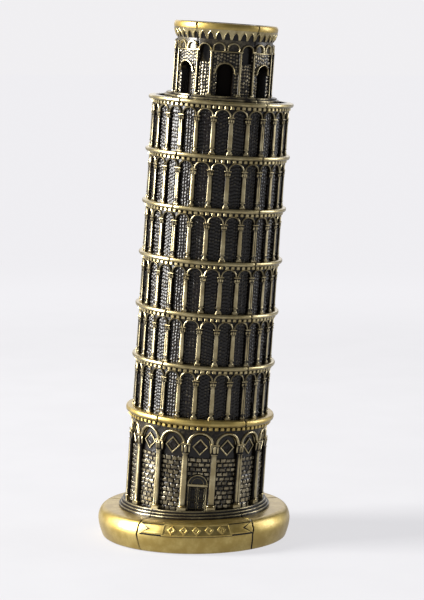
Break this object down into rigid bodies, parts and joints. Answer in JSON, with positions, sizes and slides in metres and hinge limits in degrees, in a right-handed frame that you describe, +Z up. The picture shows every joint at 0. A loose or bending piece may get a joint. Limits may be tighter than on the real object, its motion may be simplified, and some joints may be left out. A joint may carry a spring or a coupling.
{
  "type": "miniature landmark model",
  "caption": "Shelf ornament: a leaning round bell tower with arcaded galleries and an open-topped belfry on a round plinth with a blank ribbon.",
  "frame": {"origin": "centre of the round felt face that the plinth stands on", "axes": "+Z up, -Y towards the door and the ribbon (front), +X towards the viewer's right, the side that the tower leans to"},
  "size_m": [0.0754, 0.0755, 0.2],
  "materials": {
    "bright_brass": "antique brass plating, rubbed bright on the raised faces, satin",
    "aged_brass": "antique brass plating with brown-black patina left in the hollows",
    "patina": "brown-black patina with worn brass highlights on the stones, rough",
    "felt": "black felt"
  },
  "bodies": {
    "root": {"felt_pad": "felt", "plinth": "bright_brass", "ribbon_banner": "bright_brass", "plinth_collar": "aged_brass", "tower_shaft": "patina", "ground_arcade": "aged_brass", "door": "aged_brass", "ground_cornice": "bright_brass", "gallery_1_arcade": "aged_brass", "gallery_1_cornice": "bright_brass", "gallery_2_arcade": "aged_brass", "gallery_2_cornice": "bright_brass", "gallery_3_arcade": "aged_brass", "gallery_3_cornice": "bright_brass", "gallery_4_arcade": "aged_brass", "gallery_4_cornice": "bright_brass", "gallery_5_arcade": "aged_brass", "gallery_5_cornice": "bright_brass", "gallery_6_arcade": "aged_brass", "gallery_6_cornice": "bright_brass", "belfry_platform": "aged_brass", "belfry_core": "patina", "belfry_wall": "patina", "belfry_arcade": "aged_brass", "corbel_table": "aged_brass", "parapet_ring": "bright_brass", "roof_disc": "patina"}
  },
  "joints": []
}
